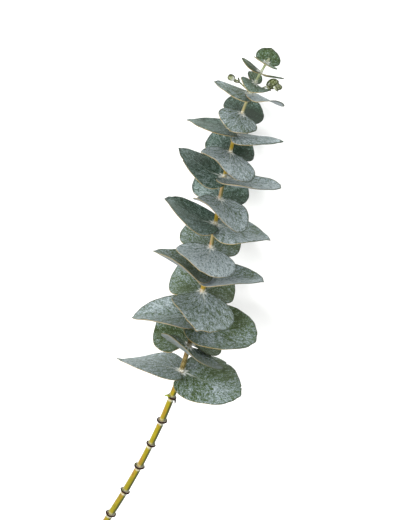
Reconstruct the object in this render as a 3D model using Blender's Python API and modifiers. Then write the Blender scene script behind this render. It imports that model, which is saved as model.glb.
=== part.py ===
"""A cut branch of young eucalyptus, lying on the rims of its lower leaves."""

import math
from collections import namedtuple
from functools import partial

import bmesh
import bpy
import numpy as np

# All sizes and places below are in millimetres, and MM turns them into metres.
MM = 0.001

# The stem runs along +Y from its cut end to its tip, through these places (x, y), and falls toward the tip.
STEM_BENDS = (
    (-10.5, -272), (1.4, -200), (8.4, -127), (4.8, -53), (-2.9, 27), (-9.2, 84), (-10.8, 116), (-5.2, 158)
)
STEM_CURVE_DEGREE = 5
STEM_CUT = -272
STEM_TIP = 157
STEM_HEIGHT = 38.0
STEM_FALL = math.radians(5)
STEM_TAPER_AT = (STEM_CUT, -100, 116, STEM_TIP)
STEM_TAPER_RADIUS = (2.25, 1.75, 1.0, 0.7)
NODE_SWELLING = 0.3
NODE_SWELLING_REACH = 2.0
EVEN_STATIONS = 44
PAIR_STEPS = (-2.2, 0, 2.2)
STATION_GAP = 1.5
STEM_ROUNDNESS = 3

# The bare part of the stem keeps the rims of fallen leaves, and the tip ends in a bud.
SCAR_PLACES = (-255, -228, -200, -176, -151, -127)
SCAR_STEPS = (-1.8, -0.9, -0.4, 0.0, 0.35, 0.9, 1.9)
SCAR_WIDENING = (0.0, 0.14, 0.55, 0.66, 0.5, 0.16, 0.0)
BUD_STEPS = (0.8, 1.8, 2.6, 3.1)
BUD_RADII = (0.85, 0.85, 0.55, 0.15)

# The leaves stand in opposite pairs, each pair turned a quarter against the last one.
PAIR_PLACES = (-102, -78, -53.5, -30, -11, 7.5, 27, 47, 65, 84, 100, 114.5, 131, 139.5, 148, 156)
LEAF_THICKNESS = 0.6
LEAF_TO_STEM = 0.45
LEAF_CLASP = math.radians(85)
LEAF_SPREAD = math.radians(152)
LEAF_WAVE = 0.012
LEAF_WAVES = 3
WAVE_SHIFT = 1.7
APEX_POINT = 0.03
APEX_POINT_ANGLE = 0.16
APEX_BLUNTNESS = 0.02
GROUND_TO_LEAF = 0.3

# A blade leaves the stem square to it and starts to rise beyond its base, as shares of its length.
RISE_START = 0.1
RISE_CURVE = 0.25

# The middle of the whole branch's box, on the ground: it becomes the model's origin.
MIDDLE = (5.39, -55.11, 0.13)

# length and width of the blade; turn round the stem (0 up, 90 right, 180 down, 270 left); rise of the
# blade toward the tip; roll about its midrib; lift along the stem, by which the two leaves of a pair pass
# over and under each other; cup of both halves and curl of one against the other, bend of the midrib and
# twist about it; reach of the base lobes behind the stem; skew of the apex to one side, taper of the
# outline toward the apex and how uneven its halves are
Leaf = namedtuple("Leaf", "pair length width turn rise roll lift cup curl bend twist lobe skew taper uneven")

LEAVES = {
    "01_left": Leaf(1, 48, 46, 271, -7, 12, 0, -0.05, -0.05, -0.05, 0.4, 0.15, -0.05, 0.2, -0.2),
    "01_right": Leaf(1, 48, 52, 80, 6, 12, 0, -0.2, 0, -0.05, 0.05, 0.1, 0, 0.25, 0.25),
    "02_front": Leaf(2, 42, 51, 1, 24, -18, 0, 0.15, 0.1, 0.1, -0.25, 0.15, -0.1, -0.1, 0.05),
    "02_back": Leaf(2, 50, 49, 192, 16, -14, 0, -0.3, 0.2, 0.05, 0.05, 0.25, 0, 0.25, 0.05),
    "03_left": Leaf(3, 46, 52, 282, -10, 7, 0, 0.4, -0.2, 0, 0.35, 0.15, -0.05, 0, 0.25),
    "03_right": Leaf(3, 48, 52, 74, 8, 13, 0, 0.1, -0.1, -0.05, -0.1, 0.15, 0, 0.1, -0.05),
    "04_front": Leaf(4, 45, 44, 21, -6, -1, 0.6, -0.15, -0.2, 0.05, -0.5, -0.05, -0.25, 0.5, 0),
    "04_back": Leaf(4, 46, 48, 190, 6, 4, -0.6, -0.4, -0.1, 0.2, 0, 0.2, -0.05, 0.1, -0.05),
    "05_left": Leaf(5, 40, 53, 286, 8, 4, 1.2, 0.35, -0.2, 0.05, 0.55, 0.15, -0.1, 0.05, 0.4),
    "05_right": Leaf(5, 42, 53, 80, 10, -8, -1.2, 0.3, 0.2, -0.05, -0.3, 0.15, 0.05, 0, -0.4),
    "06_front": Leaf(6, 38, 44, 2, 2, -14, 0.6, -0.1, 0.1, 0.05, -0.25, 0.05, -0.1, 0.15, 0),
    "06_back": Leaf(6, 41, 44, 190, 4, 10, -0.6, -0.2, -0.1, 0.05, 0, 0.2, -0.1, 0.05, 0),
    "07_left": Leaf(7, 38, 42, 281, 10, 5, 0.5, 0.15, -0.15, 0.2, 0.25, 0.15, 0, -0.1, 0.2),
    "07_right": Leaf(7, 40, 40, 86, 0, -8, -0.5, 0.05, 0.2, 0, -0.4, 0.1, 0, 0.05, -0.1),
    "08_front": Leaf(8, 34, 44, 24, -4, -13, 0.7, 0.05, 0.1, 0.1, -0.7, 0.15, -0.2, -0.25, -0.1),
    "08_back": Leaf(8, 38, 39, 188, 6, 12, -0.7, -0.15, -0.25, 0.1, 0, 0.15, 0.1, 0.05, -0.05),
    "09_left": Leaf(9, 35, 34, 270, 12, -9, 0, 0, 0, 0.15, 0.35, 0.15, -0.05, 0.1, 0.05),
    "09_right": Leaf(9, 40, 46, 80, 8, -11, 0, 0.3, 0.15, 0, -0.05, 0.15, 0, -0.05, -0.5),
    "10_front": Leaf(10, 32, 40, 10, 0, -19, 1.1, -0.2, 0.15, 0.05, -0.4, 0.1, -0.15, 0.2, 0.05),
    "10_back": Leaf(10, 33, 34, 193, 6, 12, -1.1, -0.25, -0.15, 0.15, -0.1, 0.1, -0.05, 0.25, -0.1),
    "11_left": Leaf(11, 34, 34, 270, -4, 13, 0.8, 0.05, -0.05, 0, 0.1, 0.15, 0, 0.15, 0.05),
    "11_right": Leaf(11, 32, 33, 90, 0, -14, -0.8, -0.25, 0.1, 0.15, 0.1, 0.15, 0, 0.7, 0.4),
    "12_front": Leaf(12, 24, 26, 356, -2, -12, 0.9, -0.15, 0.1, -0.1, 0.05, 0.1, -0.05, 0.4, 0),
    "12_back": Leaf(12, 28, 28, 186, -2, 14, -0.9, -0.1, -0.2, 0.15, -0.1, 0.25, -0.05, 0.1, -0.1),
    "13_left": Leaf(13, 25, 26, 270, -3, 6, -0.5, -0.2, 0.15, 0, -0.05, 0.2, 0, 0.5, 0),
    "13_right": Leaf(13, 24, 21, 86, 5, -7, 0.5, -0.05, -0.1, 0, -0.65, 0.2, 0, 0.1, -0.5),
    "14_front": Leaf(14, 18, 19, 355, 14, -17, 0.4, 0.3, 0.35, -0.2, 0.05, -0.05, -0.1, 0.25, 0),
    "14_back": Leaf(14, 14, 11, 194, 6, 0, -0.5, 0.2, 0.15, 0, -0.15, 0, -0.05, 0, 0),
    "15_left": Leaf(15, 16, 11, 270, 10, 10, 0.4, -0.05, -0.05, 0, -0.05, 0.05, 0, 0, 0.05),
    "15_right": Leaf(15, 16, 10, 90, 14, -25, -0.4, 0.1, 0, 0, 0, 0.05, 0, 0, 0),
    "16_front": Leaf(16, 12, 18, 350, 15, 10, 0.6, 0.1, -0.05, 0.05, -0.1, 0, 0, 0, 0),
    "16_back": Leaf(16, 14, 17, 176, 20, -10, -0.6, 0, 0, 0.05, 0.05, 0.05, 0.05, 0.05, 0),
}
LARGE_LEAF_LENGTH = 30
LARGE_LEAF_GRID = (16, 3)
SMALL_LEAF_GRID = (12, 2)

# A side shoot's stalk, by its places (x, y) and height over the stem's line, and the leaves on it, by their
# place along the stalk from 0 to 1, length, width, turn round the stalk and rise toward its tip.
Shoot = namedtuple("Shoot", "places radius leaves")
ShootLeaf = namedtuple("ShootLeaf", "place length width turn rise")

SHOOTS = {
    "side_shoot_left": Shoot(
        ((-10.8, 132.8, 0.0), (-15.5, 135.2, 0.3), (-18.5, 136.8, 0.5), (-21.2, 137.8, 0.7),
         (-23.0, 138.2, 0.8)),
        0.55,
        (
            ShootLeaf(0.5, 3.5, 3.0, 90, 45),
            ShootLeaf(0.5, 4.0, 3.5, 270, 50),
            ShootLeaf(0.85, 5.5, 4.5, 10, 60),
            ShootLeaf(0.85, 5.0, 4.0, 190, 65),
        ),
    ),
    "side_shoot_right": Shoot(
        ((-7.4, 132.8, 0.2), (-5.0, 135.4, 0.2), (-2.6, 138.6, 0.2), (0.0, 141.2, 1.2), (2.8, 143.0, 2.8),
         (5.4, 144.0, 4.2)),
        0.55,
        (
            ShootLeaf(0.55, 8.5, 7.5, 180, 50),
            ShootLeaf(0.55, 6.0, 5.5, 0, 40),
            ShootLeaf(0.86, 6.0, 5.5, 190, 60),
            ShootLeaf(0.86, 5.0, 5.0, 10, 60),
        ),
    ),
}
SHOOT_LEAF_GRID = (8, 2)
SHOOT_LEAF_INSIDE = 0.2
SHOOT_LEAF_SHAPE = Leaf(1, 0, 0, 0, 0, 0, 0, 0.2, 0, 0.2, 0, 0, 0, 0, 0)
SHOOT_TAPER = 0.4
SHOOT_ROUNDNESS = 2
STALK_STEP = 0.1
SAME_POINT = 1e-6

# The oldest leaves are blue grey under their bloom, and the youngest ones green.
OLD_LEAF_COLOUR = (0.20, 0.27, 0.25)
YOUNG_LEAF_COLOUR = (0.13, 0.20, 0.10)
STEM_COLOUR = (0.42, 0.33, 0.09)
SHOOT_COLOUR = (0.36, 0.42, 0.18)
LEAF_ROUGHNESS = 0.6
STEM_ROUGHNESS = 0.5


def unit(vector):
    return vector / np.linalg.norm(vector)


BENDS = np.array(STEM_BENDS, float)
SIDEWAYS = np.polyfit(BENDS[:, 1] / 100, BENDS[:, 0], STEM_CURVE_DEGREE)


def stem_at(y):
    """The middle of the stem at y: a smooth curve through its bends, on a slope."""
    return np.array([np.polyval(SIDEWAYS, y / 100), y, STEM_HEIGHT - math.tan(STEM_FALL) * y])


def stem_axes(y):
    """The stem's direction, the upward normal to it and the direction to its right."""
    along = unit(stem_at(y + 0.5) - stem_at(y - 0.5))
    up = np.array([0, 0, 1.0])
    up = unit(up - along[2] * along)
    return along, up, np.cross(along, up)


def taper(y):
    return float(np.interp(y, STEM_TAPER_AT, STEM_TAPER_RADIUS))


def stem_radius(y):
    """The taper, swollen at each pair of leaves and widened at each scar, then the bud."""
    if y > STEM_TIP:
        return float(np.interp(y - STEM_TIP, BUD_STEPS, BUD_RADII))
    swelling = sum(math.exp(-(((y - place) / NODE_SWELLING_REACH) ** 2)) for place in PAIR_PLACES)
    widening = sum(np.interp(y - place, SCAR_STEPS, SCAR_WIDENING, 0, 0) for place in SCAR_PLACES)
    return taper(y) * (1 + widening) + NODE_SWELLING * swelling


def stem_stations():
    """Where along the stem its width is set: evenly, and closer at the pairs, the scars and the bud."""
    even = np.linspace(STEM_CUT, STEM_TIP, EVEN_STATIONS)
    pairs = [place + step for place in PAIR_PLACES for step in PAIR_STEPS]
    scars = [place + step for place in SCAR_PLACES for step in SCAR_STEPS]
    bud = [STEM_TIP + step for step in BUD_STEPS]
    special = sorted(y for y in pairs + scars if STEM_CUT < y < STEM_TIP)
    far = [y for y in even[1:-1] if min(abs(y - place) for place in special) > STATION_GAP]
    return sorted([STEM_CUT, STEM_TIP, *special, *far, *bud])


def outline(leaf, angle):
    """The rim of a round leaf with base lobes and a short point, at an angle from its apex."""
    behind = leaf.lobe * leaf.length
    middle = (leaf.length - behind) / 2
    half = (leaf.length + behind) / 2
    point = APEX_POINT * leaf.length * math.exp(-((angle / APEX_POINT_ANGLE) ** 2))
    across = leaf.width / 2 * math.sin(angle)
    across *= (1 - leaf.taper * math.cos(angle)) * (1 + leaf.uneven * math.sin(angle))
    return across, middle + (half - APEX_BLUNTNESS * leaf.length) * math.cos(angle) + point


def risen(share):
    """How much of its rise a blade has at a share of its length: none, then a parabola, then a line to 1."""
    past = share - RISE_START
    if past < 0:
        return 0
    whole = 1 - RISE_START - RISE_CURVE / 2
    bent = past**2 / (2 * RISE_CURVE) if past < RISE_CURVE else past - RISE_CURVE / 2
    return bent / whole


def blade_point(leaf, inner_radius, around, out):
    """A point of the blade, across, along and off it. around is -1 to 1 over the fan, out is 0 to 1."""
    clasp = around * LEAF_CLASP
    rim_x, rim_y = outline(leaf, around * LEAF_SPREAD)
    x = (1 - out) * inner_radius * math.sin(clasp) + out * rim_x
    y = (1 - out) * inner_radius * math.cos(clasp) + out * rim_y
    rise = math.radians(leaf.rise)
    share = risen(y / leaf.length)
    wave = LEAF_WAVE * leaf.length * math.sin(LEAF_WAVES * around * LEAF_SPREAD + WAVE_SHIFT * leaf.pair)
    past_base = max(y, 0) ** 2 / leaf.length
    off = (leaf.cup * x * x + leaf.curl * x * abs(x)) / (leaf.width / 2) + leaf.bend * past_base
    off += share * (leaf.length * math.sin(rise) + leaf.twist * x + wave * out)
    x += leaf.skew * past_base
    return x, y - share * leaf.length * (1 - math.cos(rise)), off


def leaf_point(leaf, around, out):
    """The same point in its place on the branch, kept above the ground."""
    place = PAIR_PLACES[leaf.pair - 1] + leaf.lift
    along, up, right = stem_axes(place)
    turn, roll = math.radians(leaf.turn), math.radians(leaf.roll)
    outward = math.cos(turn) * up + math.sin(turn) * right
    side = np.cross(along, outward)
    across = math.cos(roll) * side + math.sin(roll) * along
    normal = math.cos(roll) * along - math.sin(roll) * side
    inner_radius = (stem_radius(place) + LEAF_TO_STEM) / math.cos(roll)
    x, y, off = blade_point(leaf, inner_radius, around, out)
    point = stem_at(place) + x * across + y * outward + off * normal
    point[2] = max(point[2], GROUND_TO_LEAF)
    return point


def material(name, colour, roughness):
    made = bpy.data.materials.new(name)
    made.use_nodes = True
    shader = made.node_tree.nodes["Principled BSDF"]
    shader.inputs["Base Color"].default_value = (*colour, 1)
    shader.inputs["Roughness"].default_value = roughness
    shader.inputs["Metallic"].default_value = 0
    made.diffuse_color = (*colour, 1)
    return made


def add_object(name, data, colour, roughness, collection, holder):
    made = bpy.data.objects.new(name, data)
    data.materials.append(material(name, colour, roughness))
    made.parent = holder
    collection.objects.link(made)
    return made


def grid_mesh(name, grid, place):
    """A grid of triangles whose points place(around, out) puts in space."""
    builder = bmesh.new()
    bmesh.ops.create_grid(builder, x_segments=grid[0], y_segments=grid[1], size=1)
    for vertex in builder.verts:
        vertex.co = place(vertex.co.x, (vertex.co.y + 1) / 2) * MM
    bmesh.ops.triangulate(builder, faces=builder.faces[:])
    mesh = bpy.data.meshes.new(name)
    builder.to_mesh(mesh)
    builder.free()
    mesh.shade_smooth()
    return mesh


def thicken(made, thickness):
    solidify = made.modifiers.new("Thickness", "SOLIDIFY")
    solidify.thickness = thickness * MM
    solidify.offset = 0


def tube_curve(name, points, radii, resolution):
    """A tube through the points, with a radius at each, closed at both ends."""
    curve = bpy.data.curves.new(name, "CURVE")
    curve.dimensions = "3D"
    curve.bevel_depth = MM
    curve.bevel_resolution = resolution
    curve.use_fill_caps = True
    spline = curve.splines.new("POLY")
    spline.points.add(len(points) - 1)
    for target, point, radius in zip(spline.points, points, radii):
        target.co = (*(point * MM), 1)
        target.radius = radius
    return curve


def make_stem(collection, holder):
    stations = stem_stations()
    points = [stem_at(y) for y in stations]
    radii = [stem_radius(y) for y in stations]
    curve = tube_curve("stem", points, radii, STEM_ROUNDNESS)
    add_object("stem", curve, STEM_COLOUR, STEM_ROUGHNESS, collection, holder)


def make_leaf(name, leaf, collection, holder):
    grid = LARGE_LEAF_GRID if leaf.length > LARGE_LEAF_LENGTH else SMALL_LEAF_GRID
    mesh = grid_mesh(name, grid, partial(leaf_point, leaf))
    youth = (leaf.pair - 1) / (len(PAIR_PLACES) - 1)
    colour = [old + (young - old) * youth for old, young in zip(OLD_LEAF_COLOUR, YOUNG_LEAF_COLOUR)]
    made = add_object(name, mesh, colour, LEAF_ROUGHNESS, collection, holder)
    thicken(made, LEAF_THICKNESS)


def stalk_at(shoot, share):
    """A point of the stalk, from 0 at its base to 1 at its tip."""
    points = np.array([(x, y, stem_at(y)[2] + over) for x, y, over in shoot.places])
    steps = np.linspace(0, 1, len(points))
    return np.array([np.interp(share, steps, column) for column in points.T])


def shoot_leaf_point(shoot, leaf, around, out):
    """A point of a small blade that is held up from its stalk."""
    base = stalk_at(shoot, leaf.place)
    tip_side = min(leaf.place + STALK_STEP, 1)
    along = unit(stalk_at(shoot, tip_side) - stalk_at(shoot, leaf.place - STALK_STEP))
    up = unit(np.array([0, 0, 1.0]) - along[2] * along)
    turn, rise = math.radians(leaf.turn), math.radians(leaf.rise)
    outward = math.cos(turn) * up + math.sin(turn) * np.cross(along, up)
    midrib = math.cos(rise) * outward + math.sin(rise) * along
    side = np.cross(along, outward)
    face = np.cross(midrib, side)
    shape = SHOOT_LEAF_SHAPE._replace(length=leaf.length, width=leaf.width)
    x, y, off = blade_point(shape, SHOOT_LEAF_INSIDE, around, out)
    return base + x * side + y * midrib + off * face


def join(target, tool):
    """Unites tool with target, and removes tool."""
    union = target.modifiers.new("Join", "BOOLEAN")
    union.operation = "UNION"
    union.object = tool
    graph = bpy.context.evaluated_depsgraph_get()
    united = bpy.data.meshes.new_from_object(target.evaluated_get(graph))
    target.modifiers.clear()
    target.data = united
    bpy.data.objects.remove(tool)


def solid_copy(made, collection):
    """A plain mesh object with the shape that a curve or a modifier gives."""
    graph = bpy.context.evaluated_depsgraph_get()
    mesh = bpy.data.meshes.new_from_object(made.evaluated_get(graph))
    builder = bmesh.new()
    builder.from_mesh(mesh)
    bmesh.ops.remove_doubles(builder, verts=builder.verts[:], dist=SAME_POINT)
    builder.to_mesh(mesh)
    builder.free()
    copy = bpy.data.objects.new(made.name, mesh)
    copy.matrix_world = made.matrix_world
    collection.objects.link(copy)
    bpy.data.objects.remove(made)
    return copy


def make_shoot(name, shoot, collection, holder):
    shares = np.linspace(0, 1, 2 * len(shoot.places) - 1)
    points = [stalk_at(shoot, share) for share in shares]
    radii = [shoot.radius * (1 - SHOOT_TAPER * share) for share in shares]
    stalk = bpy.data.objects.new("stalk", tube_curve("stalk", points, radii, SHOOT_ROUNDNESS))
    collection.objects.link(stalk)
    shape = solid_copy(stalk, collection)
    for number, leaf in enumerate(shoot.leaves):
        place = partial(shoot_leaf_point, shoot, leaf)
        blade = bpy.data.objects.new(f"blade_{number}", grid_mesh("shoot_leaf", SHOOT_LEAF_GRID, place))
        collection.objects.link(blade)
        thicken(blade, LEAF_THICKNESS)
        join(shape, solid_copy(blade, collection))
    add_object(name, shape.data, SHOOT_COLOUR, 0.5, collection, holder)
    bpy.data.objects.remove(shape)


def build():
    for old in list(bpy.data.objects):
        bpy.data.objects.remove(old)
    collection = bpy.data.collections.new("eucalyptus_branch")
    bpy.context.scene.collection.children.link(collection)
    holder = bpy.data.objects.new("branch", None)
    holder.location = [-value * MM for value in MIDDLE]
    collection.objects.link(holder)
    make_stem(collection, holder)
    for name, leaf in LEAVES.items():
        make_leaf(f"leaf_{name}", leaf, collection, holder)
    for name, shoot in SHOOTS.items():
        make_shoot(name, shoot, collection, holder)


build()
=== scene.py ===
"""A cut branch of young eucalyptus lying on a pale table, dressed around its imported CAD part."""
import math
from collections import namedtuple

import bpy
import numpy as np
from mathutils import Matrix


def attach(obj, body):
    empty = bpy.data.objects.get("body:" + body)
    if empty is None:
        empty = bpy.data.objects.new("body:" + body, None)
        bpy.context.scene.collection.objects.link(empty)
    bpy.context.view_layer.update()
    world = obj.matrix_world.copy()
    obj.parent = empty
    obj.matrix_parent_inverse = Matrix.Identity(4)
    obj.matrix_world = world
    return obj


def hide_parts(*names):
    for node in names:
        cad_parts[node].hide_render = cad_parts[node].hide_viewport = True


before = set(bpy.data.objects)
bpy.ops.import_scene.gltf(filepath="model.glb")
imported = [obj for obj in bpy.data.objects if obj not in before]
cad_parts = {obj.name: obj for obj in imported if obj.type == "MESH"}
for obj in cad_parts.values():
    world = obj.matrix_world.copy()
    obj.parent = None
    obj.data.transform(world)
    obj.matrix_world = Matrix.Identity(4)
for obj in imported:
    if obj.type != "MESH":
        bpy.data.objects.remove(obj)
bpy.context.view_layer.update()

# The stem: one young eucalyptus shoot, round green wood under a thin waxy skin. It grew with a small bend
# and a swelling at each pair of its leaves, and a bud closes its tip. The cut end is a plain slanted snip.

# all sizes are in millimetres from a zero on the table below the stem; MIDDLE is the model's own zero seen
# from there
MM = 0.001
MIDDLE = np.array([5.39, -55.11, 0.13])
STEM_BENDS = np.array([
    (-10.5, -272), (1.4, -200), (8.4, -127), (4.8, -53), (-2.9, 27), (-9.2, 84), (-10.8, 116), (-5.2, 158),
], float)
STEM_CUT = -272.0
STEM_TIP = 157.0
STEM_HEIGHT = 38.0
STEM_FALL = math.tan(math.radians(5))
STEM_TAPER_AT = (STEM_CUT, -125, -100, 116, STEM_TIP)
STEM_TAPER_RADIUS = (2.6, 2.3, 1.95, 1.1, 0.75)
PAIR_PLACES = np.array([
    -102, -78, -53.5, -30, -11, 7.5, 27, 47, 65, 84, 100, 114.5, 131, 139.5, 148, 156,
])
SCAR_PLACES = np.array([-255, -228, -200, -176, -151, -127], float)
SIDEWAYS = np.polyfit(STEM_BENDS[:, 1] / 100, STEM_BENDS[:, 0], 5)
BUD_STEPS = (0.8, 1.8, 2.6, 3.1)
BUD_RADII = (0.85, 0.85, 0.55, 0.15)
BUD_RINGS = 12
CUT_SHARES = (0.0, 0.3, 0.62, 0.9)
CUT_SLANT = 0.5
CUT_SLANT_REACH = 2.5
NODE_SWELLING = 0.3
NODE_SWELLING_REACH = 2.0
STEM_WAVES = (0.03, 0.015)
STEM_STEP = 0.4
STEM_SIDES = 40
# the side of the stem that faces the lamps, 75 degrees from its top toward its left; the skin is painted dark
# olive, as shade, on the far side
LIT_SIDE = math.radians(-75)
GOLDEN_PLACES = np.array([-24.5, 32.5, 69.5, 90])


def unit(vectors):
    """Vectors of length 1: each divided by its own length."""
    return vectors / np.linalg.norm(vectors, axis=-1, keepdims=True)


def stem_line(y):
    """The middle of the stem at y: across by a fifth-degree curve of y, up by a straight fall to the tip."""
    y = np.asarray(y, float)
    return np.stack([np.polyval(SIDEWAYS, y / 100), y, STEM_HEIGHT - STEM_FALL * y], -1)


def stem_axes(y):
    """Along the stem, up from it and to its right: its tangent, world up made square to it, their cross."""
    along = unit(stem_line(np.asarray(y) + 0.5) - stem_line(np.asarray(y) - 0.5))
    up = unit(np.array([0, 0, 1.0]) - along[..., 2:] * along)
    return along, up, np.cross(along, up)


def hump(distance, reach):
    """A soft bump: e to the power of minus the square of distance over reach."""
    return np.exp(-((distance / reach) ** 2))


def ramp(value, low, high):
    """0 below low, 1 above high, and 3t^2 - 2t^3 between them."""
    t = np.clip((value - low) / (high - low), 0, 1)
    return t * t * (3 - 2 * t)


def stem_radius(y):
    """The taper, with a soft bump of NODE_SWELLING at each pair, and the bud's own radii past the tip."""
    y = np.asarray(y, float)
    bumps = hump(y[..., None] - PAIR_PLACES, NODE_SWELLING_REACH).sum(-1)
    body = np.interp(y, STEM_TAPER_AT, STEM_TAPER_RADIUS) + NODE_SWELLING * bumps
    return np.where(y > STEM_TIP, np.interp(y - STEM_TIP, BUD_STEPS, BUD_RADII), body)


def add_mesh(name, points, faces):
    """A smooth mesh with its place in its points, given in millimetres from the zero below the stem."""
    mesh = bpy.data.meshes.new(name)
    mesh.from_pydata(((points - MIDDLE) * MM).tolist(), [], faces.tolist())
    mesh.shade_smooth()
    piece = bpy.data.objects.new(name, mesh)
    bpy.context.scene.collection.objects.link(piece)
    return piece


def tube_faces(rings, sides):
    """The quads of a grid of rings by sides, closed round each ring, facing out for points that turn left."""
    ring, side = np.meshgrid(np.arange(rings - 1), np.arange(sides), indexing="ij")
    after = (side + 1) % sides
    here, there = ring * sides, (ring + 1) * sides
    return np.stack([here + side, here + after, there + after, there + side], -1).reshape(-1, 4)


def mark(piece, name, columns):
    """Gives each point of a piece three numbers, or a linear colour, for its material to read."""
    values = np.stack([np.asarray(column, float).reshape(-1) for column in columns], -1)
    made = piece.data.attributes.new(name, "FLOAT_VECTOR", "POINT")
    made.data.foreach_set("vector", values.reshape(-1))


def linear(code, alpha=1.0):
    """An sRGB hex colour as linear red, green, blue and alpha."""
    parts = [int(code[i:i + 2], 16) / 255 for i in (1, 3, 5)]
    return (*[p / 12.92 if p <= 0.04045 else ((p + 0.055) / 1.055) ** 2.4 for p in parts], alpha)


def coat(under, share, code):
    """A colour laid over others: under * (1 - share) + colour * share at each point."""
    share = np.clip(share, 0, 1)[..., None]
    return under * (1 - share) + np.array(linear(code)[:3]) * share


def add(tree, kind, *values, out=0, **named):
    """Adds a node and returns its output out, or all of them for out=None. values fill its sockets in order,
    and named ones by name (From_Min for From Min); lower-case names are the node's own settings. A value is
    a number, a hex colour or another node's output."""
    made = tree.nodes.new("ShaderNode" + kind)
    for key, value in named.items():
        if key[0].islower():
            setattr(made, key, value)
    sockets = list(zip(made.inputs, values))
    sockets += [(made.inputs[key.replace("_", " ")], named[key]) for key in named if key[0].isupper()]
    for socket, value in sockets:
        if isinstance(value, bpy.types.NodeSocket):
            tree.links.new(value, socket)
        else:
            socket.default_value = linear(value) if isinstance(value, str) else value
    return made.outputs if out is None else made.outputs[out]


def new_material(name):
    """An empty node material, its tree, and its Principled shader, already joined to the output."""
    made = bpy.data.materials.new(name)
    made.use_nodes = True
    return made, made.node_tree, made.node_tree.nodes["Principled BSDF"]


def stem_skin():
    """Rings of radius stem_radius, made uneven by slow waves round and along. Rings of CUT_SHARES of the
    radius close the cut end across the wood, and the bud's own radii bring the tip down to a point 0.3 mm
    wide. The cut end is slanted by CUT_SLANT of the radius, up to down."""
    rings = [np.full(len(CUT_SHARES), STEM_CUT), np.arange(STEM_CUT, STEM_TIP, STEM_STEP)]
    y = np.concatenate([*rings, STEM_TIP + np.linspace(0.0, BUD_STEPS[-1], BUD_RINGS)])
    share = np.concatenate([CUT_SHARES, np.ones(len(y) - len(CUT_SHARES))])
    angle = np.linspace(0, 2 * math.pi, STEM_SIDES, endpoint=False)
    y, angle = np.meshgrid(y, angle, indexing="ij")
    radius = stem_radius(y) * share[:, None]
    wide, narrow = STEM_WAVES
    radius = radius * (1 + wide * np.sin(2 * angle + y / 17) + narrow * np.sin(5 * angle - y / 6.1))
    along, up, right = stem_axes(y)
    slant = -CUT_SLANT * radius * np.cos(angle) * hump(y - STEM_CUT, CUT_SLANT_REACH)
    spoke = np.cos(angle)[..., None] * up + np.sin(angle)[..., None] * right
    points = stem_line(y) + radius[..., None] * spoke + slant[..., None] * along
    return points, y, angle, np.broadcast_to(share[:, None], y.shape)


def stem_tint(y, angle, share):
    """The skin's colour, coat over coat. It is olive yellow on the bare stem and cream on the leafy part,
    flushed orange in patches on the side toward the lamps, golden above some pairs and grey green near the
    tip. Painted shade darkens it to olive on the side away from the lamps. Between the lowest pairs it is
    mottled brown, each scar has a brown line, and the wood in the cut is pale round a brown pith."""
    shade = 0.5 - 0.5 * np.cos(angle - LIT_SIDE)
    flush = np.sin(y / 6.5 + 1.2 * np.sin(y / 19)) + 0.6 * np.sin(2 * angle + y / 2.9)
    golden = hump(y[..., None] - GOLDEN_PLACES, 4.0).sum(-1)
    bare = np.ones((*y.shape, 3)) * linear("#8a7d06")[:3]
    bare = coat(bare, ramp(-y, 170, 250) * 0.7, "#7d7410")
    bare = coat(bare, ramp(flush, 0.1, 1.0) * ramp(shade, 0.5, 0.2) * 0.45, "#8f5726")
    # painted shade: a dark olive coat on the bare stem's side away from the lamps
    bare = coat(bare, ramp(shade, 0.36, 0.64) * 0.95, "#333b06")
    leafy = np.ones((*y.shape, 3)) * linear("#96875c")[:3]
    leafy = coat(leafy, ramp(flush, -0.2, 0.9) * ramp(shade, 0.55, 0.2) * 0.6, "#a26a40")
    # painted shade: a dark olive coat on the leafy part's side away from the lamps
    leafy = coat(leafy, ramp(shade, 0.38, 0.68) * 0.9, "#484c1a")
    leafy = coat(leafy, golden * 0.9, "#8c750c")
    leafy = coat(leafy, ramp(y, 112, 134) * 0.85, "#7f8c68")
    lowest = ramp(-y, 45, 75)
    patch = np.sin(1.9 * y + 2 * angle) * np.sin(3 * angle + 0.8 * y)
    leafy = coat(leafy, lowest * 0.6, "#6f6238")
    leafy = coat(leafy, lowest * ramp(patch, 0.0, 0.5) * 0.8, "#463812")
    under_leaves = ramp(y, -122, -98)[..., None]
    skin = bare * (1 - under_leaves) + leafy * under_leaves
    skin = coat(skin, hump(y[..., None] - SCAR_PLACES, 0.8).sum(-1) * 0.8, "#4a3018")
    wood = coat(np.ones((*y.shape, 3)) * linear("#6f6a30")[:3], ramp(share, 0.95, 0.75), "#b8ab78")
    wood = coat(wood, ramp(share, 0.35, 0.1), "#8b7440")
    return np.where(share[..., None] < 1, wood, skin)


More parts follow.
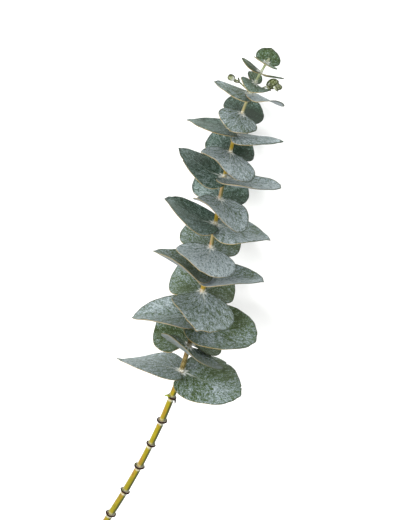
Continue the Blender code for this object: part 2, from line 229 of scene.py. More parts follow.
def stem_bark():
    """Young living bark: a thin smooth skin, satin where bare (typical roughness 0.4, IOR 1.45) and dull
    under white wax. The eye sees fine lengthwise fibres and crumbs of wax over the skin's own colour."""
    made, tree, shader = new_material("young_eucalyptus_bark")
    place = add(tree, "TexCoord", out="Object")
    # fibres run lengthwise, about 0.6 mm apart and ten times as long
    fibres = add(tree, "Mapping", place, Scale=(1600, 160, 1600))
    streak = add(tree, "TexNoise", fibres, Scale=1.0, Detail=3.0, Roughness=0.6)
    # wax lies in crumbs of about 1 mm
    fleck = add(tree, "TexNoise", place, Scale=900.0, Detail=2.0)
    tint = add(tree, "Attribute", attribute_name="tint", out="Color")
    wax = add(tree, "Attribute", attribute_name="wax", out="Fac")
    light = add(tree, "MapRange", streak, 0.25, 0.75, 0.62, 1.35)
    skin = add(tree, "VectorMath", tint, Scale=light, operation="SCALE")
    chalk = add(tree, "MapRange", fleck, 0.35, 0.6, 0.25, 1.0)
    chalk = add(tree, "Math", wax, chalk, operation="MULTIPLY", use_clamp=True)
    tree.links.new(add(tree, "MixRGB", chalk, skin, "#d6d7cd"), shader.inputs["Base Color"])
    tree.links.new(add(tree, "MapRange", chalk, 0.0, 1.0, 0.4, 0.8), shader.inputs["Roughness"])
    relief = add(tree, "Bump", Strength=0.5, Distance=0.0003, Height=streak)
    tree.links.new(relief, shader.inputs["Normal"])
    shader.inputs["IOR"].default_value = 1.45
    shader.inputs["Specular IOR Level"].default_value = 0.25
    return made


skin_points, skin_y, skin_angle, skin_share = stem_skin()
stem = add_mesh("stem_skin", skin_points.reshape(-1, 3), tube_faces(len(skin_points), STEM_SIDES)[:, ::-1])
# wax gathers in ragged collars just above each pair and on both sides of each scar
above_pair = hump(skin_y[..., None] - PAIR_PLACES - 1.4, 1.5).sum(-1)
below_scar = hump(skin_y[..., None] - SCAR_PLACES + 2.6, 1.0).sum(-1)
above_scar = hump(skin_y[..., None] - SCAR_PLACES - 1.6, 1.0).sum(-1)
ragged = 0.75 + 0.5 * np.sin(3 * skin_angle + skin_y) * np.sin(5 * skin_angle - 2 * skin_y)
wax = (above_pair + 0.8 * below_scar + 0.4 * above_scar) * ragged
mark(stem, "tint", np.moveaxis(stem_tint(skin_y, skin_angle, skin_share), -1, 0))
mark(stem, "wax", (wax, wax, wax))
bark = stem_bark()
stem.data.materials.append(bark)
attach(stem, "root")
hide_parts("stem")

# The leaf scars: where a pair of lower leaves was pulled off, its clasping base leaves two corky half rims
# round the stem, dark maroon at the lip and grey on top.
SCAR_REACH = 1.7
SCAR_HALF_DEPTH = 0.9
SCAR_STEP = 0.5
SCAR_INSIDE = 0.25
SCAR_SIDES = 72
SCAR_LIP_STEPS = 14


def scar_rim(number, y):
    """A ring whose section is a rounded lip, from SCAR_INSIDE within the stem out to SCAR_REACH. Its reach
    falls with the square root of the cosine of the angle from the middle of each half, so that it dips where
    the halves meet. One half sits SCAR_STEP above the middle and the other below, and both are gritty."""
    angle = np.linspace(0, 2 * math.pi, SCAR_SIDES, endpoint=False)
    lip = np.linspace(0, 2 * math.pi, SCAR_LIP_STEPS, endpoint=False)
    angle, lip = np.meshgrid(angle, lip, indexing="ij")
    half = angle - math.radians(90 * (number % 2) + 12)
    rise = 0.62 + 0.38 * np.abs(np.cos(half)) ** 0.5
    rough = 0.10 * np.sin(7 * angle + number) + 0.07 * np.sin(13 * angle + 2.1 * number)
    inner = stem_radius(y) - SCAR_INSIDE
    outer = stem_radius(y) + SCAR_REACH * rise + rough * 0.8
    middle, reach = (inner + outer) / 2, (outer - inner) / 2
    radius = middle + reach * np.cos(lip)
    depth = SCAR_HALF_DEPTH * np.sin(lip) * (0.62 + 0.38 * np.cos(lip) ** 2)
    cupped = 0.55 * ramp(np.cos(lip), -0.6, 1.0) - 0.28
    step = SCAR_STEP * np.sign(np.cos(half)) * np.abs(np.cos(half)) ** 0.4
    offset = depth - cupped + step + rough
    along, up, right = stem_axes(y)
    spoke = np.cos(angle)[..., None] * up + np.sin(angle)[..., None] * right
    points = stem_line(y) + radius[..., None] * spoke + offset[..., None] * along
    top = ramp(np.sin(lip), 0.5, 0.95) * ramp(np.cos(lip), 0.35, -0.35)
    tint = coat(np.ones((*angle.shape, 3)) * linear("#200804")[:3], top, "#97927e")
    return points, coat(tint, ramp(np.sin(lip), -0.5, -0.95) * 0.6, "#6a4a2a")


def scar_cork():
    """Corked-over scar tissue: dry, rough and dull (typical roughness 0.75), gritty, in grains of 0.4 mm."""
    made, tree, shader = new_material("leaf_scar_cork")
    place = add(tree, "TexCoord", out="Object")
    grit = add(tree, "TexNoise", place, Scale=2400.0, Detail=3.0, Roughness=0.65)
    tint = add(tree, "Attribute", attribute_name="tint", out="Color")
    light = add(tree, "MapRange", grit, 0.25, 0.75, 0.5, 1.6)
    tree.links.new(add(tree, "VectorMath", tint, Scale=light, operation="SCALE"), shader.inputs["Base Color"])
    shader.inputs["Roughness"].default_value = 0.75
    shader.inputs["IOR"].default_value = 1.45
    shader.inputs["Specular IOR Level"].default_value = 0.15
    relief = add(tree, "Bump", Strength=0.6, Distance=0.0004, Height=grit)
    tree.links.new(relief, shader.inputs["Normal"])
    return made


# the faces of a rim: a tube whose last ring is its first one
RIM_FACES = tube_faces(SCAR_SIDES + 1, SCAR_LIP_STEPS) % (SCAR_SIDES * SCAR_LIP_STEPS)
cork = scar_cork()
for number, place in enumerate(SCAR_PLACES, 1):
    rim_points, rim_tint = scar_rim(number, place)
    rim = add_mesh(f"leaf_scar_{number}", rim_points.reshape(-1, 3), RIM_FACES)
    mark(rim, "tint", np.moveaxis(rim_tint, -1, 0))
    rim.data.materials.append(cork)
    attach(rim, "root")

# The torn threads: strips of the leaf bases that stayed on four of the scars when the leaves were pulled
# off, green where they are still fresh and brown where they have dried. They are of the scars' own cork.
THREAD_RINGS = 25
THREAD_SIDES = 12
THREAD_FLATNESS = 0.65
# each thread: its scar, its places from the middle of the stem there, across, along and up, its radius and
# its colour
THREADS = (
    (6, ((-2.2, 0.3, 0.6), (-3.9, 0.5, 1.2), (-5.6, 0.2, 2.2)), 1.05, "#848f14"),
    (6, ((-1.0, 0.8, 2.2), (-2.6, 1.9, 3.0), (-3.4, 3.4, 3.6)), 0.9, "#8f9428"),
    (6, ((2.4, -0.6, 0.6), (3.4, -2.6, 0.9), (3.9, -6.2, 0.4)), 0.95, "#14100a"),
    (3, ((-2.2, 0.4, 0.6), (-3.4, 1.2, 1.0), (-4.4, 2.9, 1.4)), 0.5, "#5d6a3a"),
    (2, ((-2.4, 0.4, 0.6), (-4.3, 0.7, 0.8), (-6.2, -0.6, 0.6)), 0.28, "#7c8470"),
    (2, ((-1.4, 0.6, 1.8), (-2.0, 1.7, 2.4), (-2.2, 2.8, 2.6)), 0.7, "#6d7a3c"),
    (1, ((-1.8, 0.4, 1.6), (-2.6, 1.4, 2.2), (-3.3, 2.2, 2.4)), 0.6, "#4a2c1c"),
    (1, ((1.9, 0.2, 1.6), (2.9, 0.5, 2.0), (3.8, 0.3, 2.0)), 0.65, "#24140e"),
)


def thread(places, radius):
    """A torn thread through places: rings about the curve through them, which thin as the square root of
    what is left and are flattened to THREAD_FLATNESS. Returns its points and faces."""
    places = np.array(places, float)
    share = np.linspace(0, 1, THREAD_RINGS)
    steps = np.linspace(0, 1, len(places))
    curves = [np.polyfit(steps, places[:, axis], len(places) - 1) for axis in range(3)]
    line = np.stack([np.polyval(curve, share) for curve in curves], -1)
    along = unit(np.gradient(line, axis=0))
    side = unit(np.cross(along, [0.1, 0.2, 1.0]))
    angle = np.linspace(0, 2 * math.pi, THREAD_SIDES, endpoint=False)[None, :, None]
    flat = np.cross(along, side)[:, None] * THREAD_FLATNESS
    spoke = np.cos(angle) * side[:, None] + np.sin(angle) * flat
    thick = radius * np.sqrt(np.clip(1 - share, 0, 1)) * np.sqrt(np.clip(share * 20, 0, 1))
    points = line[:, None] + thick[:, None, None] * spoke
    return points.reshape(-1, 3), tube_faces(THREAD_RINGS, THREAD_SIDES)


for number, (scar, places, radius, code) in enumerate(THREADS, 1):
    thread_points, thread_faces = thread(places, radius)
    thread_points = thread_points + stem_line(SCAR_PLACES[scar - 1])
    torn_thread = add_mesh(f"torn_thread_{number}", thread_points, thread_faces)
    mark(torn_thread, "tint", np.outer(linear(code)[:3], np.ones(len(thread_points))))
    torn_thread.data.materials.append(cork)
    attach(torn_thread, "root")

# The leaves: stalkless, round and leathery, in opposite pairs that turn a quarter from pair to pair. Each
# is a fan that clasps the stem, with lobes behind it, a midrib, fine veins and a thin tan gristly rim.
LEAF_THICKNESS = 0.55
LEAF_EDGE_ROUND = 0.75
LEAF_TO_STEM = -0.15
LEAF_CLASP = math.radians(85)
LEAF_SPREAD = math.radians(152)
# the table is level with the model's own zero, and the lowest leaves are pressed flat just over it
GROUND = MIDDLE[2] + 0.02
# waves of the blade, and finer ones toward its rim, as shares of its length
LEAF_WAVE = 0.012
LEAF_RIPPLE = 0.006
# waves of the outline, coarse and fine, and what its corners behind the stem lose, as shares of the way out
LEAF_TRIM = (0.004, 0.003)
LEAF_CORNER = 0.1
# the point at the apex, and how much the round outline is shorter for it, as shares of the length
LEAF_POINT = 0.03
LEAF_POINT_BACK = 0.02
# a leaf is level up to the first share of its length, curves up over the second and runs straight from there
RISE_START = 0.1
RISE_CURVE = 0.25
# heights in millimetres of a side vein and of the midrib, which is a groove above and a ridge below
UPPER_VEINS = (0.05, -0.14)
UNDER_VEINS = (0.07, 0.45)
# side veins: how many to a radian of the fan, and the millimetres between them along the midrib
VEINS_TO_RADIAN = 3.2
VEIN_SPACING = 12
# the grid's lines near every edge, at about these millimetres from it, and how many lines lie between, each
# as a least number and as more of them for each millimetre of length
EDGE_STEPS = np.array([0.0, 0.08, 0.22, 0.45, 0.9])
OUTWARD_STEPS = (18, 0.5)
AROUND_STEPS = (40, 1.4)

# length and width of the blade; turn round the stem (0 up, 90 right, 180 down, 270 left); rise toward the
# tip; roll about the midrib; lift along the stem; cup of both halves and curl of one against the other; bend
# of the midrib and twist about it; reach of the lobes behind the stem; skew of the apex, taper toward it and
# how uneven the halves are; wax, the share of the white bloom that handling has left on it, which also
# paints light and shade: it is set lower on leaves that lie in shade and higher on lit ones
Leaf = namedtuple(
    "Leaf", "pair length width turn rise roll lift cup curl bend twist lobe skew taper uneven wax",
)
LEAVES = {
    "01_left": Leaf(1, 48, 46, 271, -7, 12, 0, -0.05, -0.05, -0.05, 0.4, 0.15, -0.05, 0.2, -0.2, 0.6),
    "01_right": Leaf(1, 48, 52, 80, 6, 12, 0, -0.2, 0, -0.05, 0.05, 0.1, 0, 0.25, 0.25, 0.35),
    "02_front": Leaf(2, 42, 51, 1, 24, -18, 0, 0.15, 0.1, 0.1, -0.25, 0.15, -0.1, -0.1, 0.05, 0.4),
    "02_back": Leaf(2, 50, 49, 192, 16, -14, 0, -0.3, 0.2, 0.05, 0.05, 0.25, 0, 0.25, 0.05, 0.3),
    "03_left": Leaf(3, 46, 52, 282, -10, 7, 0, 0.4, -0.2, 0, 0.35, 0.15, -0.05, 0, 0.25, 0.55),
    "03_right": Leaf(3, 48, 52, 74, 8, 13, 0, 0.1, -0.1, -0.05, -0.1, 0.15, 0, 0.1, -0.05, 0.35),
    "04_front": Leaf(4, 45, 44, 21, -6, -1, 0.6, -0.15, -0.2, 0.05, -0.5, -0.05, -0.25, 0.5, 0, 0.53),
    "04_back": Leaf(4, 46, 48, 190, 6, 4, -0.6, -0.4, -0.1, 0.2, 0, 0.2, -0.05, 0.1, -0.05, 0.42),
    "05_left": Leaf(5, 40, 53, 286, 8, 4, 1.2, 0.35, -0.2, 0.05, 0.55, 0.15, -0.1, 0.05, 0.4, 0.4),
    "05_right": Leaf(5, 42, 53, 80, 10, -8, -1.2, 0.3, 0.2, -0.05, -0.3, 0.15, 0.05, 0, -0.4, 0.7),
    "06_front": Leaf(6, 38, 44, 2, 2, -14, 0.6, -0.1, 0.1, 0.05, -0.25, 0.05, -0.1, 0.15, 0, 0.8),
    "06_back": Leaf(6, 41, 44, 190, 4, 10, -0.6, -0.2, -0.1, 0.05, 0, 0.2, -0.1, 0.05, 0, 0.45),
    "07_left": Leaf(7, 38, 42, 281, 10, 5, 0.5, 0.15, -0.15, 0.2, 0.25, 0.15, 0, -0.1, 0.2, 0.35),
    "07_right": Leaf(7, 40, 40, 86, 0, -8, -0.5, 0.05, 0.2, 0, -0.4, 0.1, 0, 0.05, -0.1, 0.65),
    "08_front": Leaf(8, 34, 44, 24, -4, -13, 0.7, 0.05, 0.1, 0.1, -0.7, 0.15, -0.2, -0.25, -0.1, 0.65),
    "08_back": Leaf(8, 38, 39, 188, 6, 12, -0.7, -0.15, -0.25, 0.1, 0, 0.15, 0.1, 0.05, -0.05, 0.55),
    "09_left": Leaf(9, 35, 34, 270, 12, -9, 0, 0, 0, 0.15, 0.35, 0.15, -0.05, 0.1, 0.05, 0.36),
    "09_right": Leaf(9, 40, 46, 80, 8, -11, 0, 0.3, 0.15, 0, -0.05, 0.15, 0, -0.05, -0.5, 0.7),
    "10_front": Leaf(10, 32, 40, 10, 0, -19, 1.1, -0.2, 0.15, 0.05, -0.4, 0.1, -0.15, 0.2, 0.05, 0.7),
    "10_back": Leaf(10, 33, 34, 193, 6, 12, -1.1, -0.25, -0.15, 0.15, -0.1, 0.1, -0.05, 0.25, -0.1, 0.4),
    "11_left": Leaf(11, 34, 34, 270, -4, 13, 0.8, 0.05, -0.05, 0, 0.1, 0.15, 0, 0.15, 0.05, 0.35),
    "11_right": Leaf(11, 32, 33, 90, 0, -14, -0.8, -0.25, 0.1, 0.15, 0.1, 0.15, 0, 0.7, 0.4, 0.7),
    "12_front": Leaf(12, 24, 26, 356, -2, -12, 0.9, -0.15, 0.1, -0.1, 0.05, 0.1, -0.05, 0.4, 0, 0.6),
    "12_back": Leaf(12, 28, 28, 186, -2, 14, -0.9, -0.1, -0.2, 0.15, -0.1, 0.25, -0.05, 0.1, -0.1, 0.2),
    "13_left": Leaf(13, 25, 26, 270, -3, 6, -0.5, -0.2, 0.15, 0, -0.05, 0.2, 0, 0.5, 0, 0.5),
    "13_right": Leaf(13, 24, 21, 86, 5, -7, 0.5, -0.05, -0.1, 0, -0.65, 0.2, 0, 0.1, -0.5, 1),
    "14_front": Leaf(14, 18, 19, 355, 14, -17, 0.4, 0.3, 0.35, -0.2, 0.05, -0.05, -0.1, 0.25, 0, 0.45),
    "14_back": Leaf(14, 14, 11, 194, 6, 0, -0.5, 0.2, 0.15, 0, -0.15, 0, -0.05, 0, 0, 0.33),
    "15_left": Leaf(15, 16, 11, 270, 10, 10, 0.4, -0.05, -0.05, 0, -0.05, 0.05, 0, 0, 0.05, 0),
    "15_right": Leaf(15, 16, 10, 90, 14, -25, -0.4, 0.1, 0, 0, 0, 0.05, 0, 0, 0, 0.3),
    "16_front": Leaf(16, 12, 18, 350, 15, 10, 0.6, 0.1, -0.05, 0.05, -0.1, 0, 0, 0, 0, 0.4),
    "16_back": Leaf(16, 14, 17, 176, 20, -10, -0.6, 0, 0, 0.05, 0.05, 0.05, 0.05, 0.05, 0, 0.3),
}
# small tears in a rim: angle from the blade's apex in degrees, depth and half width in millimetres
TEARS = {
    "01_right": ((78, 1.1, 1.0), (20, 0.7, 0.7)),
    "02_back": ((-40, 0.8, 0.9),),
    "04_front": ((62, 0.6, 0.8),),
    "09_left": ((35, 0.7, 0.8),),
}
# places where the wax is thinner or, with a share below nothing, thicker than on the rest of a leaf: across
# and along the blade, reach in millimetres, and the share that was rubbed off. On 08_back, 10_back and
# 12_back the thin spot at negative x is painted shade, not a rub: it darkens the half that lies in shade
WAX_RUBS_AND_SHADE = {
    "01_left": ((-8, 44, 7, 0.3),),
    "01_right": ((21, 27, 13, 0.3), (-6, 30, 12, -0.2), (10, 6, 6, -0.3), (-14, 8, 8, -0.08)),
    "02_back": ((14, 16, 8, 0.2), (-23, 5, 10, 0.1)),
    "02_front": ((12, 5, 10, -0.2),),
    "03_left": ((-4, 22, 5, 0.15), (-16, 22, 11, -0.15), (12, 24, 9, 0.1)),
    "03_right": ((20, 25, 15, 0.35), (-15, 16, 12, -0.3)),
    "04_front": ((0, 10, 10, -0.2),),
    "04_back": ((12, 5, 6, 0.3), (-23, 13, 9, 0.35), (-10, 2, 7, 0.25)),
    "05_left": ((12, 20, 14, 0.15),),
    "05_right": ((14, 26, 12, 0.2), (9, 31, 8, 0.2), (-23, 14, 12, -0.4)),
    "06_back": ((-16, 20, 14, 0.35),),
    "07_left": ((-12, 24, 9, 0.2), (14, 15, 10, -0.15)),
    "07_right": ((10, 28, 9, 0.25),),
    # painted shade: the thin wax at negative x on 08_back, 10_back and 12_back darkens the halves that lie in
    # shade
    "08_back": ((-14, 8, 13, 0.4), (10, 6, 8, -0.15)),
    "09_left": ((-8, 18, 9, 0.2), (11, 12, 9, -0.15)),
    "10_back": ((-12, 8, 12, 0.4), (9, 4, 8, -0.15)),
    "11_left": ((-6, 24, 5, 0.25), (7, 10, 9, -0.1)),
    "12_back": ((-9, 9, 10, 0.4), (8, 5, 7, -0.15)),
    "12_front": ((8, 16, 6, 0.2),),
    "16_back": ((2, 12, 9, 0.15), (2, 0, 3, -0.3)),
}
# leaves that lie in shade, which get a darker, bluer copy of the old leaves' skin as painted shade
LEAVES_IN_PAINTED_SHADE = ("07_left", "08_back", "09_left", "10_back", "11_left", "12_back")
# the last pair whose leaves are fully grown, and the last one that has its full wax
WAXY_PAIRS = 13
# the way the light comes from, across, along and up; rims that face away from it are painted in shade
LIGHT_WAY = np.array([-0.35, -0.15, 0.92])


def leaf_rim(leaf, angle):
    """A round outline at an angle from its apex: an ellipse whose taper widens it behind and narrows it in
    front, one half wider by uneven, with a short point."""
    behind = leaf.lobe * leaf.length
    middle = (leaf.length - behind) / 2
    half = (leaf.length + behind) / 2
    point = LEAF_POINT * leaf.length * hump(angle, 0.16)
    across = leaf.width / 2 * np.sin(angle) * (1 - leaf.taper * np.cos(angle))
    along = middle + (half - LEAF_POINT_BACK * leaf.length) * np.cos(angle) + point
    return across * (1 + leaf.uneven * np.sin(angle)), along


def risen(share):
    """How much of its rise a blade has at a share of its length: none, a parabola, then a line to 1."""
    past = np.maximum(share - RISE_START, 0)
    whole = 1 - RISE_START - RISE_CURVE / 2
    return np.where(past < RISE_CURVE, past ** 2 / (2 * RISE_CURVE), past - RISE_CURVE / 2) / whole


def blade_layer(leaf, inner, around, out, tears=()):
    """The blade's middle layer, across, along and off, and the flat x and y it is cut from. It is a fan
    between an arc round the stem and the rim, waved and nicked there, cupped across, bent, then risen."""
    angle = around * LEAF_SPREAD
    rim_x, rim_y = leaf_rim(leaf, angle)
    coarse, fine = LEAF_TRIM
    trim = coarse * np.sin(9 * angle + leaf.turn) + fine * np.sin(17 * angle + 2.3 * leaf.pair)
    corner = LEAF_CORNER * np.clip((np.abs(around) - 0.9) / 0.1, 0, 1) ** 2.5
    torn = 0
    for at, deep, wide in tears:
        torn = torn + deep * hump(np.degrees(angle) - at, np.degrees(wide / leaf.length * 2))
    reach = out * (1 + trim * out - corner) - torn / leaf.length * 2 * out ** 6
    clasp = around * LEAF_CLASP
    x = (1 - reach) * inner * np.sin(clasp) + reach * rim_x
    y = (1 - reach) * inner * np.cos(clasp) + reach * rim_y
    rise = math.radians(leaf.rise)
    share = risen(y / leaf.length)
    wave = LEAF_WAVE * leaf.length * np.sin(3 * angle + 1.7 * leaf.pair)
    ripple = LEAF_RIPPLE * leaf.length * np.sin(8 * angle + 0.9 * leaf.pair + leaf.turn) * reach ** 3
    off = (leaf.cup * x * x + leaf.curl * x * np.abs(x)) / (leaf.width / 2)
    off = off + leaf.bend * np.maximum(y, 0) ** 2 / leaf.length
    off = off + share * (leaf.length * math.sin(rise) + leaf.twist * x + wave * reach + ripple)
    aside = leaf.skew * np.maximum(y, 0) ** 2 / leaf.length
    return x + aside, y - share * leaf.length * (1 - math.cos(rise)), off, x, y


def leaf_steps(leaf):
    """Where the grid has its lines, from 0 to 1 out and -1 to 1 around: even, and closer at every edge."""
    near = EDGE_STEPS / leaf.length
    least, more = OUTWARD_STEPS
    even = np.linspace(0.05, 0.95, int(least + leaf.length * more))
    out = np.concatenate([2.2 * near, even, 1 - 2.2 * near[::-1]])
    least, more = AROUND_STEPS
    even = np.linspace(-0.965, 0.965, int(least + leaf.length * more))
    return np.concatenate([-1 + near, even, 1 - near[::-1]]), out


def veins(x, y, leaf):
    """Share of the veins' heights, 0 to 1: the midrib, which thins from base to apex, and side veins, which
    leave it at a sharp angle and spread toward the rim, wherever angle * VEINS_TO_RADIAN less distance /
    VEIN_SPACING is whole. Slow waves keep them from running even."""
    share = np.clip(y / leaf.length, 0, 1)
    midrib = hump(x, 0.75 - 0.45 * share) * (1 - 0.7 * share) * (y > 0)
    angle, distance = np.abs(np.arctan2(x, y + 3)), np.hypot(x, y)
    uneven = 0.22 * np.sin(distance / 5 + 3 * angle + leaf.turn)
    uneven = uneven + 0.15 * np.sin(distance / 2.7 + leaf.pair + x / 6)
    lines = VEINS_TO_RADIAN * angle - distance / VEIN_SPACING + uneven
    side = np.abs(np.cos(math.pi * lines)) ** 16 * ramp(distance, 2.5, 6) * ramp(angle, 0.03, 0.15)
    return midrib, side * (1 - ramp(distance / leaf.length, 0.55, 0.95))


def leaf_frame(leaf):
    """Where a blade starts with its own across, outward and normal directions, turned round the stem and
    rolled about its midrib, and then the radius at which it clasps the stem."""
    y = PAIR_PLACES[leaf.pair - 1] + leaf.lift
    along, up, right = stem_axes(y)
    turn, roll = math.radians(leaf.turn), math.radians(leaf.roll)
    outward = math.cos(turn) * up + math.sin(turn) * right
    side = np.cross(along, outward)
    across = math.cos(roll) * side + math.sin(roll) * along
    normal = math.cos(roll) * along - math.sin(roll) * side
    inner = (float(stem_radius(y)) + LEAF_TO_STEM) / math.cos(roll)
    return (stem_line(y), across, outward, normal), inner


def to_outline(leaf, inner, x, y, tears):
    """The distance from each flat point to the nearest of 520 points of the blade's outline: its rim and the
    two sides that run from the rim to the stem."""
    sides = np.linspace(0, 1, 60)
    pieces = [(np.linspace(-1, 1, 400), np.ones(400)), (np.full(60, -1.0), sides), (np.full(60, 1.0), sides)]
    outline = [blade_layer(leaf, inner, around, out, tears)[3:] for around, out in pieces]
    edge_x, edge_y = np.concatenate(outline, 1)
    return np.sqrt(((x[..., None] - edge_x) ** 2 + (y[..., None] - edge_y) ** 2).min(-1))


def vein_height(heights, side_vein, midrib):
    """The height of both kinds of veins together, in millimetres: each one's own height times its share."""
    return heights[0] * side_vein + heights[1] * midrib


def blade_solid(leaf, inner, place, tears=(), ground=None):
    """A closed blade: its middle layer moved both ways along its own normals by a half thickness, which falls
    to nothing at every edge as a quarter circle, and by the heights of the veins. Both sides share the points
    of the edge. Returns points, faces and the eight rows of numbers that its material reads."""
    around, out = leaf_steps(leaf)
    grid_a, grid_o = np.meshgrid(around, out, indexing="ij")
    x, y, off, flat_x, flat_y = blade_layer(leaf, inner, grid_a, grid_o, tears)
    start, across, outward, normal = place
    middle = start + x[..., None] * across + y[..., None] * outward + off[..., None] * normal
    half = LEAF_THICKNESS / 2
    if ground is not None:
        middle[..., 2] = np.maximum(middle[..., 2], ground + half)
    face = unit(np.cross(np.gradient(middle, axis=1), np.gradient(middle, axis=0)) + 1e-12)
    to_rim = to_outline(leaf, inner, flat_x, flat_y, tears)
    to_rim[[0, -1], :] = 0
    to_rim[:, -1] = 0
    to_stem = np.maximum(np.hypot(flat_x, flat_y) - inner, 0)
    to_edge = np.minimum(to_rim, to_stem)
    to_edge[:, 0] = 0
    round_off = np.sqrt(1 - (1 - np.clip(to_edge / LEAF_EDGE_ROUND, 0, 1)) ** 2)
    midrib, side_vein = veins(flat_x, flat_y, leaf)
    above = (half + vein_height(UPPER_VEINS, side_vein, midrib)) * round_off
    beneath = (half + vein_height(UNDER_VEINS, side_vein, midrib)) * round_off
    upper = middle + above[..., None] * face
    lower = middle - beneath[..., None] * face
    if ground is not None:
        lower[..., 2] = np.maximum(lower[..., 2], ground)
        upper[..., 2] = np.maximum(upper[..., 2], ground)
    rows, columns = grid_a.shape
    number = np.arange(rows * columns).reshape(rows, columns)
    inside = np.zeros((rows, columns), bool)
    inside[1:-1, 1:-1] = True
    below = number.copy()
    below[inside] = rows * columns + np.arange(inside.sum())
    top, bottom = [np.stack([n[:-1, :-1], n[:-1, 1:], n[1:, 1:], n[1:, :-1]], -1) for n in (number, below)]
    faces = np.concatenate([top.reshape(-1, 4), bottom.reshape(-1, 4)[:, ::-1]])
    points = np.concatenate([upper.reshape(-1, 3), lower[inside]])
    # how far each point lies toward the light from the blade's middle: the material paints shade along the
    # rims that lie away from it
    facing_light = ramp(unit(middle - middle.mean((0, 1))) @ LIGHT_WAY, 0.25, 0.8)
    star = ramp(to_stem + 1.2 * np.sin(9 * np.arctan2(flat_x, flat_y)) * np.sin(4 * grid_a), 3.0, 0.8)
    white_rib = hump(flat_x, 0.5) * ramp(flat_y / leaf.length, 0.3, 0.1) * (flat_y > 0)
    star = np.maximum(star, 0.7 * white_rib)
    numbers = [np.concatenate([column.reshape(-1), column[inside]]) for column in
               (flat_x, flat_y, to_rim, facing_light, star, midrib, side_vein)]
    upper_side = np.concatenate([0.5 + 0.5 * inside.reshape(-1), np.zeros(inside.sum())])
    return points, faces, numbers[:2] + [upper_side] + numbers[2:]


def bloom(leaf, x, y, rubs_and_shade):
    """The share of wax left: the leaf's own, a little less near the stem than near the rim, less what each
    of rubs_and_shade took in a soft spot (across, along, reach in millimetres, and how much). Some of those
    spots are painted shade rather than rubs."""
    left = leaf.wax + 0.10 * (ramp(np.hypot(x, y) / leaf.length, 0.2, 0.9) - 0.5)
    for across, along, reach, taken in rubs_and_shade:
        left = left - taken * hump(np.hypot(x - across, (y - along) * 1.2), reach)
    return left


